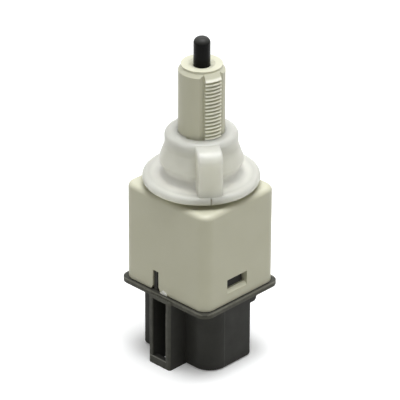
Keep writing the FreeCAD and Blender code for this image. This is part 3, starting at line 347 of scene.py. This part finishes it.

# %% [markdown]
# ### Soft bands, boxes and rings
#
# Several finishes change from place to place, and these marks are painted light and shade:
# the neck of the collar is painted paler and yellower, the base's flange paler and browner,
# and the tip of the rod has a painted highlight. Such marks could be painted by hand, but
# they sit on features whose places the CAD model gives exactly. So a small group turns a
# coordinate into a soft band between two places, as a mask. Bands along x, y and z
# multiply into a soft box, and one along the distance from the axis into a ring.

# %% A group for soft bands


def soft_band_group():
    """Mask that rises at Start and falls at End, each over the length of Softness."""
    group, given, out = new_group(
        "soft_band",
        [("Coordinate", "Float"), ("Start", "Float"), ("End", "Float"),
         ("Softness", "Float", 0.0005)],
        [("Mask", "Float")])
    edges = []
    for high, low in (("Coordinate", "Start"), ("End", "Coordinate")):
        past = maths(group, "SUBTRACT", given[high], given[low])
        ramp = maths(group, "DIVIDE", past, given["Softness"])
        edges.append(maths(group, "ADD", ramp, 0.5, clamp=True))
    group.links.new(both(group, *edges), out["Mask"])
    return group


soft_band = soft_band_group()
print("group:", soft_band.name)

# %% Masks by place


def band(tree, coordinate, start, end, soft):
    """Mask between two places along a coordinate, in millimetres."""
    made = add(tree, "ShaderNodeGroup", node_tree=soft_band)
    tree.links.new(coordinate, made.inputs["Coordinate"])
    for label, value in (("Start", start), ("End", end), ("Softness", soft)):
        made.inputs[label].default_value = value * MM
    return made.outputs["Mask"]


def along(tree, place):
    """The three coordinates of a place."""
    split = add(tree, "ShaderNodeSeparateXYZ")
    tree.links.new(place, split.inputs[0])
    return split.outputs


def inside(tree, place, soft, **limits):
    """Mask of a box given in millimetres by its limits along x, y and z."""
    axes = along(tree, place)
    mask = 1.0
    for axis, (start, end) in limits.items():
        mask = both(tree, band(tree, axes[axis.upper()], start, end, soft), mask)
    return mask


def ring(tree, place, r, z):
    """Mask of a ring round the stem; r and z are start, end and softness in millimetres."""
    flat = add(tree, "ShaderNodeVectorMath", operation="MULTIPLY", _1=(1, 1, 0))
    radius = add(tree, "ShaderNodeVectorMath", operation="LENGTH")
    tree.links.new(place, flat.inputs[0])
    tree.links.new(flat.outputs[0], radius.inputs[0])
    return both(tree, band(tree, radius.outputs["Value"], *r),
                band(tree, along(tree, place)["Z"], *z))


def node_low(name):
    """Lowest corner of a CAD node, in metres."""
    return Vector(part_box(name)[0])


def node_high(name):
    """Highest corner of a CAD node, in metres."""
    return Vector(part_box(name)[1])


print("housing from", round(node_low("housing").z / MM, 2), "to",
      round(node_high("housing").z / MM, 2), "mm")

# %% [markdown]
# ### The plastics
#
# Each material reads Object coordinates, so the grain stays on its piece when it moves. The
# fixed values, such as specular level and subsurface, sit on the shader's own sockets. The
# finish group gives the colour to start from, and each mark is laid over it through a mask,
# as a painter would lay thin glazes.

# %% A start for every material
FINE_GRAIN, COARSE_GRAIN = (0.35, 0.02 * MM), (0.35, 0.03 * MM)


def start_material(name, **fixed):
    """Material with fixed values on its shader, and the coordinates of its piece."""
    material = bpy.data.materials.new(name)
    material.use_nodes = True
    tree = material.node_tree
    for label, value in fixed.items():
        tree.nodes["Principled BSDF"].inputs[label.replace("_", " ")].default_value = value
    place = add(tree, "ShaderNodeTexCoord", (-900, 0)).outputs["Object"]
    return material, tree, place


def use_finish(tree, group, place, relief, **values):
    """Put a finish group in a material; relief is the strength and depth of its grain."""
    finish = add(tree, "ShaderNodeGroup", (-500, 0), node_tree=group)
    tree.links.new(place, finish.inputs["Place"])
    for label, value in values.items():
        finish.inputs[label.replace("_", " ")].default_value = value
    shader = tree.nodes["Principled BSDF"].inputs
    bump = add(tree, "ShaderNodeBump", (-250, -300), Strength=relief[0], Distance=relief[1])
    tree.links.new(finish.outputs["Roughness"], shader["Roughness"])
    tree.links.new(finish.outputs["Height"], bump.inputs["Height"])
    tree.links.new(bump.outputs["Normal"], shader["Normal"])
    return finish.outputs["Colour"]


def paint(tree, colour, layers=()):
    """Lay colours over a first one, each through its mask, and give them to the shader."""
    for glaze, mask in layers:
        colour = blend_colour(tree, mask, colour, glaze)
    tree.links.new(colour, tree.nodes["Principled BSDF"].inputs["Base Color"])


print("relief, strength and depth:", FINE_GRAIN, COARSE_GRAIN)

# %% [markdown]
# #### Cream housing
#
# The box and stem are one moulding in a warm light grey-cream. Light and shade are painted
# into it in three places: the small gate pip on the lower edge, where the sprue was broken
# off, has a painted highlight; painted shade darkens a thin band at the foot of the box,
# where it meets the flange; and the crests of the teeth, more than 5 mm from the axis, are
# painted paler as a painted highlight.

# %% Cream plastic
STEM_LOW, STEM_HIGH = 40.0, 70.0  # heights in millimetres that take in the whole toothed stem


def cream_plastic():
    material, tree, place = start_material(
        "cream_plastic", Specular_IOR_Level=0.5, Subsurface_Weight=0.12,
        Subsurface_Scale=0.0015, Subsurface_Radius=(1.0, 0.9, 0.6))
    colour = use_finish(
        tree, moulded_plastic, place, FINE_GRAIN, Pigment=(0.560, 0.552, 0.430, 1),
        Pale_Streak=(0.600, 0.590, 0.468, 1), Streak_Amount=0.5, Cloud_Size=160.0,
        Grain_Size=3800.0, Dull=0.55, Polished=0.42)
    # painted shade: a thin dark band at the foot of the box, where it meets the flange
    foot_shade = inside(tree, place, soft=0.5, z=(0.0, node_low("housing").z / MM + 0.35))
    # painted highlight: the gate pip is painted whiter
    pip_highlight = inside(tree, place, soft=0.12, x=(-1.35, 0.75), y=(-11.3, -10.75), z=(16.5, 17.75))
    # painted highlight: the crests of the teeth are painted paler
    crest_highlight = ring(tree, place, r=(5.02, 6.0, 0.22), z=(STEM_LOW, STEM_HIGH, 0.2))
    paint(tree, colour, [
        ((0.30, 0.29, 0.22, 1), both(tree, foot_shade, 0.30)),
        ((0.86, 0.86, 0.82, 1), pip_highlight),
        ((0.92, 0.91, 0.79, 1), both(tree, crest_highlight, 0.9)),
    ])
    return material


cream = cream_plastic()
print(cream.name, "with", len(cream.node_tree.nodes), "nodes")

# %% [markdown]
# #### Natural nylon collar
#
# The collar has no pigment, so light goes into it and comes out again a few millimetres
# away. That makes its shadows pale and its edges bright. A see-through shader would have to
# follow the light through every wall, and subsurface scattering gives the same look for
# less. Light and shade are also painted into its colour: the ring, cone and keys are
# painted paler than the flange, the neck is painted paler and a little yellower where the
# skirt shades it, and the lower edge of the rim has a yellow painted glow. The two thin
# slits in the rim have painted shade.

# %% Natural nylon
KEY_ANGLE = math.radians(36.0)  # the line through both keys, clockwise from x seen from above


def natural_nylon():
    material, tree, place = start_material(
        "natural_nylon", Specular_IOR_Level=0.35, Subsurface_Weight=0.9,
        Subsurface_Scale=0.012, Subsurface_Radius=(1.0, 1.0, 1.0))
    colour = use_finish(
        tree, moulded_plastic, place, FINE_GRAIN, Pigment=(0.490, 0.490, 0.442, 1),
        Pale_Streak=(0.530, 0.530, 0.482, 1), Streak_Amount=0.5, Cloud_Size=220.0,
        Grain_Size=2600.0, Dull=0.46, Polished=0.33)
    across = add(tree, "ShaderNodeVectorMath", operation="DOT_PRODUCT",
                 _1=(math.sin(KEY_ANGLE), math.cos(KEY_ANGLE), 0))
    tree.links.new(place, across.inputs[0])
    slit_shade = band(tree, across.outputs["Value"], -0.16, 0.16, 0.1)
    rim = ring(tree, place, r=(11.4, 13.0, 0.3), z=(39.0, 41.3, 0.2))
    paint(tree, colour, [
        # painted light: the ring, and still more the thick walls of the cone and the keys, are
        # painted paler than the thin flange, which lets much of its light through
        ((0.570, 0.570, 0.515, 1), inside(tree, place, soft=2.0, z=(43.0, 60.0))),
        ((0.700, 0.695, 0.600, 1), ring(tree, place, r=(0.0, 13.0, 1.0), z=(42.5, 49.6, 2.0))),
        # painted light round the neck, paler and yellower where the skirt shades it
        ((0.970, 0.955, 0.840, 1), ring(tree, place, r=(0.0, 9.7, 2.0), z=(41.0, 44.4, 1.8))),
        # a yellow painted glow on the lower edge of the rim, and painted shade in its two slits
        ((0.600, 0.585, 0.470, 1), inside(tree, place, soft=0.5, z=(39.0, 40.2))),
        ((0.300, 0.285, 0.220, 1), both(tree, slit_shade, rim)),
    ])
    return material


nylon = natural_nylon()
print(nylon.name, "collar from", round(node_low("mounting_collar").z / MM, 2), "mm")

# %% [markdown]
# #### Dark grey base and black rod
#
# The base is a glass-filled nylon: dark grey and dull. Light and shade are painted into it:
# the flange is painted paler and browner, with a painted highlight on its upper edge and
# painted shade on the ledge by the box; the jambs of the latch box and the edges of its
# opening and of the bar have painted highlights, and so has the mould's parting line.
# The push rod is plain black acetal, a little glossier, and its domed tip has a painted
# highlight.

# %% Grey and black plastic


def grey_plastic():
    material, tree, place = start_material("grey_plastic", Specular_IOR_Level=0.15)
    colour = use_finish(
        tree, moulded_plastic, place, COARSE_GRAIN, Pigment=(0.028, 0.028, 0.025, 1),
        Pale_Streak=(0.042, 0.042, 0.038, 1), Streak_Amount=0.6, Cloud_Size=240.0,
        Grain_Size=3000.0, Dull=0.62, Polished=0.46)
    painted_light_spots = [
        # painted light: the whole flange is painted paler and browner, its upper edge has a
        # painted highlight, and painted shade darkens the ledge by the box
        ((0.098, 0.096, 0.078, 1), 0.3, dict(z=(15.55, 17.2))),
        ((0.160, 0.158, 0.132, 1), 0.15, dict(z=(16.35, 17.2))),
        ((0.030, 0.030, 0.026, 1), 0.12, dict(x=(-12.3, 12.0), y=(-11.05, 10.75), z=(16.2, 17.2))),
        # painted highlights: the jambs of the latch box are painted paler, and the edges of its
        # opening and of the bar brighter still
        ((0.085, 0.085, 0.072, 1), 0.15, dict(y=(-13.0, -11.7), z=(-1.0, 16.4))),
        ((0.260, 0.260, 0.235, 1), 0.08, dict(x=(1.60, 1.78), y=(-13.0, -11.9), z=(1.7, 13.5))),
        ((0.300, 0.300, 0.275, 1), 0.08, dict(x=(-2.9, 1.78), y=(-13.0, -11.9), z=(1.62, 1.85))),
        # painted highlight along the line where the two halves of the mould meet, at the end of
        # the large corner
        ((0.080, 0.080, 0.074, 1), 0.05, dict(x=(9.9, 10.4), y=(-3.27, -3.13), z=(0.6, 15.0))),
    ]
    # noise breaks the painted light and shade into patches
    patches = noise(tree, place, scale=900.0, detail=4.0, roughness=0.6)
    patchy_strength = remap(tree, patches, low=0.1, high=1.2)
    paint(tree, colour, [(glaze, both(tree, inside(tree, place, soft, **where), patchy_strength))
                         for glaze, soft, where in painted_light_spots])
    return material


def black_plastic():
    material, tree, place = start_material("black_plastic", Specular_IOR_Level=0.08)
    colour = use_finish(
        tree, moulded_plastic, place, FINE_GRAIN, Pigment=(0.004, 0.004, 0.004, 1),
        Pale_Streak=(0.007, 0.007, 0.006, 1), Streak_Amount=0.5, Cloud_Size=300.0,
        Grain_Size=3600.0, Dull=0.32, Polished=0.20)
    # painted highlight on the domed tip
    tip = inside(tree, place, soft=0.8, z=(node_high("plunger").z / MM - 0.7, 1000.0))
    paint(tree, colour, [((0.070, 0.070, 0.066, 1), both(tree, tip, 0.6))])
    return material


grey, black = grey_plastic(), black_plastic()
print(grey.name, black.name)

# %% [markdown]
# #### Metals
#
# The terminals are brass strip, the bridges copper strip, the contacts silver rivets and
# the springs drawn steel wire. All have fine lines from rolling or drawing, so one group
# makes lines: noise stretched along one direction, which moves the roughness and the height.
# Soft stains of tarnish move the colour.

# %% A group for drawn and rolled metal


def rolled_metal_group():
    """Lines move the gloss and the height, and stains of tarnish the colour."""
    group, given, out = new_group(
        "rolled_metal",
        [("Place", "Vector"), ("Metal", "Color", (0.7, 0.6, 0.4, 1)),
         ("Tarnish", "Color", (0.4, 0.3, 0.2, 1)), ("Tarnish Amount", "Float", 0.3),
         ("Stretch", "Vector", (200.0, 4000.0, 4000.0)),
         ("Smooth", "Float", 0.22), ("Lined", "Float", 0.4)],
        [("Colour", "Color"), ("Roughness", "Float"), ("Height", "Float")])
    stretched = add(group, "ShaderNodeVectorMath", operation="MULTIPLY")
    group.links.new(given["Place"], stretched.inputs[0])
    group.links.new(given["Stretch"], stretched.inputs[1])
    lines = noise(group, stretched.outputs[0], scale=1.0, detail=4.0, roughness=0.6)
    stain = noise(group, given["Place"], scale=420.0, detail=4.0, roughness=0.6)
    amount = both(group, stain, given["Tarnish Amount"])
    colour = blend_colour(group, amount, given["Metal"], given["Tarnish"])
    rough = remap(group, lines, given["Smooth"], given["Lined"])
    for label, value in (("Colour", colour), ("Roughness", rough), ("Height", lines)):
        group.links.new(value, out[label])
    return group


rolled_metal = rolled_metal_group()
print("group:", rolled_metal.name, [s.name for s in rolled_metal.interface.items_tree])

# %% Four metals
DRAWN_LINES = (0.2, 0.01 * MM)


def metal(name, **values):
    material, tree, place = start_material(name, Metallic=1.0)
    paint(tree, use_finish(tree, rolled_metal, place, DRAWN_LINES, **values))
    return material


metals = {name: metal(name, **values) for name, values in (
    ("terminal_brass", dict(
        Metal=(0.76, 0.62, 0.34, 1), Tarnish=(0.42, 0.30, 0.14, 1), Tarnish_Amount=0.5,
        Stretch=(2500.0, 2500.0, 120.0), Smooth=0.24, Lined=0.42)),
    ("copper_strip", dict(
        Metal=(0.80, 0.46, 0.30, 1), Tarnish=(0.40, 0.20, 0.12, 1), Tarnish_Amount=0.5,
        Stretch=(150.0, 3500.0, 3500.0), Smooth=0.22, Lined=0.40)),
    ("silver_contact", dict(
        Metal=(0.86, 0.85, 0.83, 1), Tarnish=(0.42, 0.38, 0.32, 1), Tarnish_Amount=0.4,
        Stretch=(1200.0, 1200.0, 1200.0), Smooth=0.20, Lined=0.36)),
    ("spring_steel", dict(
        Metal=(0.58, 0.58, 0.58, 1), Tarnish=(0.30, 0.28, 0.26, 1), Tarnish_Amount=0.5,
        Stretch=(900.0, 900.0, 2600.0), Smooth=0.22, Lined=0.38)),
)}
print("metals:", sorted(metals))

# %% [markdown]
# ### Each solid gets its finish
#
# The record names a material slot for every node, so the finishes are handed out from it.
# The frame has a plain material of each name already, so the new ones are found by slot
# and not by their own names.

# %% Hand out the finishes
finishes = {"cream_plastic": cream, "natural_nylon": nylon,
            "grey_plastic": grey, "black_plastic": black, **metals}
for part in frame["record"]["subparts"]:
    mesh = node[part["node"]].data
    mesh.materials.clear()
    mesh.materials.append(finishes[part["material_slot"]])

# %% [markdown]
# ## The springs
#
# A compression spring is a wire wound at an even pitch, with its first and last turn wound
# closed and ground flat so that it stands square. A Screw modifier winds a wire too, but at
# one pitch only. The spring follows a rule, so Geometry Nodes make it: a straight line with
# many points, each lifted and turned by its place along the line, then a round wire swept
# along it. The closed end turns are two more stretches of the same rule with a pitch of one
# wire. One tree makes all three springs from named sizes.

# %% Geometry nodes for a compression spring
SEATED = 0.35  # height of an end turn's centre line over its seat, in thicknesses of wire
WIRE_SIDES = 10


def spring_tree():
    tree = bpy.data.node_groups.new("compression_spring", "GeometryNodeTree")
    sizes = (("Coil Radius", "Float"), ("Wire", "Float"), ("Turns", "Float"), ("Length", "Float"),
             ("Points", "Int"), ("Finish", "Material"))
    for label, kind in sizes:
        tree.interface.new_socket(name=label, in_out="INPUT", socket_type=f"NodeSocket{kind}")
    tree.interface.new_socket(name="Geometry", in_out="OUTPUT", socket_type="NodeSocketGeometry")
    given = tree.nodes.new("NodeGroupInput").outputs
    out = tree.nodes.new("NodeGroupOutput").inputs

    line = add(tree, "GeometryNodeCurvePrimitiveLine")
    points = add(tree, "GeometryNodeResampleCurve")
    tree.links.new(line.outputs[0], points.inputs["Curve"])
    tree.links.new(given["Points"], points.inputs["Count"])
    travel = add(tree, "GeometryNodeSplineParameter").outputs["Factor"]
    turn = maths(tree, "MULTIPLY", travel, given["Turns"])
    angle = maths(tree, "MULTIPLY", turn, 2 * math.pi)

    def stretch(start, end, rise):
        """Height gained while the wire goes from one turn to another."""
        made = add(tree, "ShaderNodeMapRange")
        for label, value in (("Value", turn), ("From Min", start), ("From Max", end),
                             ("To Max", rise)):
            give(tree, made.inputs[label], value)
        return made.outputs["Result"]

    last = maths(tree, "SUBTRACT", given["Turns"], 1.0)
    ends = maths(tree, "MULTIPLY", given["Wire"], 2 + 2 * SEATED)
    closed = maths(tree, "ADD", stretch(0.0, 1.0, given["Wire"]),
                   stretch(last, given["Turns"], given["Wire"]))
    lift = maths(tree, "ADD", closed,
                 stretch(1.0, last, maths(tree, "SUBTRACT", given["Length"], ends)))
    place = add(tree, "ShaderNodeCombineXYZ")
    for socket, value in zip(place.inputs, (
            maths(tree, "MULTIPLY", maths(tree, "COSINE", angle), given["Coil Radius"]),
            maths(tree, "MULTIPLY", maths(tree, "SINE", angle), given["Coil Radius"]),
            maths(tree, "ADD", lift, maths(tree, "MULTIPLY", given["Wire"], SEATED)))):
        tree.links.new(value, socket)
    wound = add(tree, "GeometryNodeSetPosition")
    tree.links.new(points.outputs[0], wound.inputs["Geometry"])
    tree.links.new(place.outputs[0], wound.inputs["Position"])

    section = add(tree, "GeometryNodeCurvePrimitiveCircle", Resolution=WIRE_SIDES)
    tree.links.new(maths(tree, "MULTIPLY", given["Wire"], 0.5), section.inputs["Radius"])
    wire = add(tree, "GeometryNodeCurveToMesh", **{"Fill Caps": True})
    tree.links.new(wound.outputs[0], wire.inputs["Curve"])
    tree.links.new(section.outputs[0], wire.inputs["Profile Curve"])
    whole = add(tree, "GeometryNodeRealizeInstances")
    tree.links.new(wire.outputs[0], whole.inputs[0])
    finish = add(tree, "GeometryNodeSetMaterial")
    tree.links.new(whole.outputs[0], finish.inputs["Geometry"])
    tree.links.new(given["Finish"], finish.inputs["Material"])
    tree.links.new(finish.outputs[0], out["Geometry"])
    return tree


compression_spring = spring_tree()
print("tree:", compression_spring.name, len(compression_spring.nodes), "nodes")

# %% [markdown]
# The tree runs on an empty mesh. Its result is taken as a plain mesh, and lifted to the seat
# that the CAD node of the same spring stands on, so the new spring has exactly its place.

# %% Wind the three springs
POINTS_PER_TURN = 40


def plain_mesh(tree, name, **values):
    """Run a tree once with its inputs given by name, and keep the mesh that it makes."""
    carrier = bpy.data.objects.new(f"{name}_maker", bpy.data.meshes.new(f"{name}_maker"))
    scene.collection.objects.link(carrier)
    modifier = carrier.modifiers.new("maker", "NODES")
    modifier.node_group = tree
    for item in tree.interface.items_tree:
        label = item.name.replace(" ", "_")
        if item.in_out == "INPUT" and label in values:
            modifier[item.identifier] = values[label]
    seen = carrier.evaluated_get(bpy.context.evaluated_depsgraph_get())
    mesh = bpy.data.meshes.new_from_object(seen)
    mesh.name = name
    carrier.modifiers.clear()
    bpy.data.objects.remove(carrier)
    return mesh


def wound_spring(name, cad_name, coil_radius, wire, turns):
    """Wind a spring in the place of a CAD node.

    The facets of the CAD mesh put the middle of its box a hair off the axis, so its y is
    rounded to 0.1 mm.
    """
    low, high = node_low(cad_name), node_high(cad_name)
    mesh = plain_mesh(compression_spring, name, Coil_Radius=coil_radius, Wire=wire, Turns=turns,
                      Length=high.z - low.z, Points=int(turns * POINTS_PER_TURN),
                      Finish=metals["spring_steel"])
    middle_x, middle_y = (low.x + high.x) / 2, round((low.y + high.y) / 2, 4)
    mesh.transform(Matrix.Translation((middle_x, middle_y, low.z)))
    for face in mesh.polygons:
        face.use_smooth = len(face.vertices) == 4
    spring = bpy.data.objects.new(name, mesh)
    scene.collection.objects.link(spring)
    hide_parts(cad_name)
    print(name, len(mesh.polygons), "faces,", round((high.z - low.z) / MM, 2), "mm long")
    return spring


plunger_spring = wound_spring("wound_return_spring", "return_spring",
                              coil_radius=1.9 * MM, wire=0.45 * MM, turns=9.0)
stop_spring = wound_spring("wound_stop_spring", "stop_bridge_spring",
                           coil_radius=1.05 * MM, wire=0.35 * MM, turns=5.0)
cruise_spring = wound_spring("wound_cruise_spring", "cruise_bridge_spring",
                             coil_radius=1.05 * MM, wire=0.35 * MM, turns=5.0)

# %% [markdown]
# The plunger presses its spring from 16.2 to 11.2 mm, and each bridge shortens its small
# spring by 0.8 mm. A real spring closes its pitch evenly. Here each spring only rides on its
# body, with a mesh of its own.


def follow(spring, body):
    """Ride on a body, with a mesh of its own."""
    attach(spring, body)
    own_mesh(spring)


follow(plunger_spring, "switch")
follow(stop_spring, "plunger")
follow(cruise_spring, "plunger")
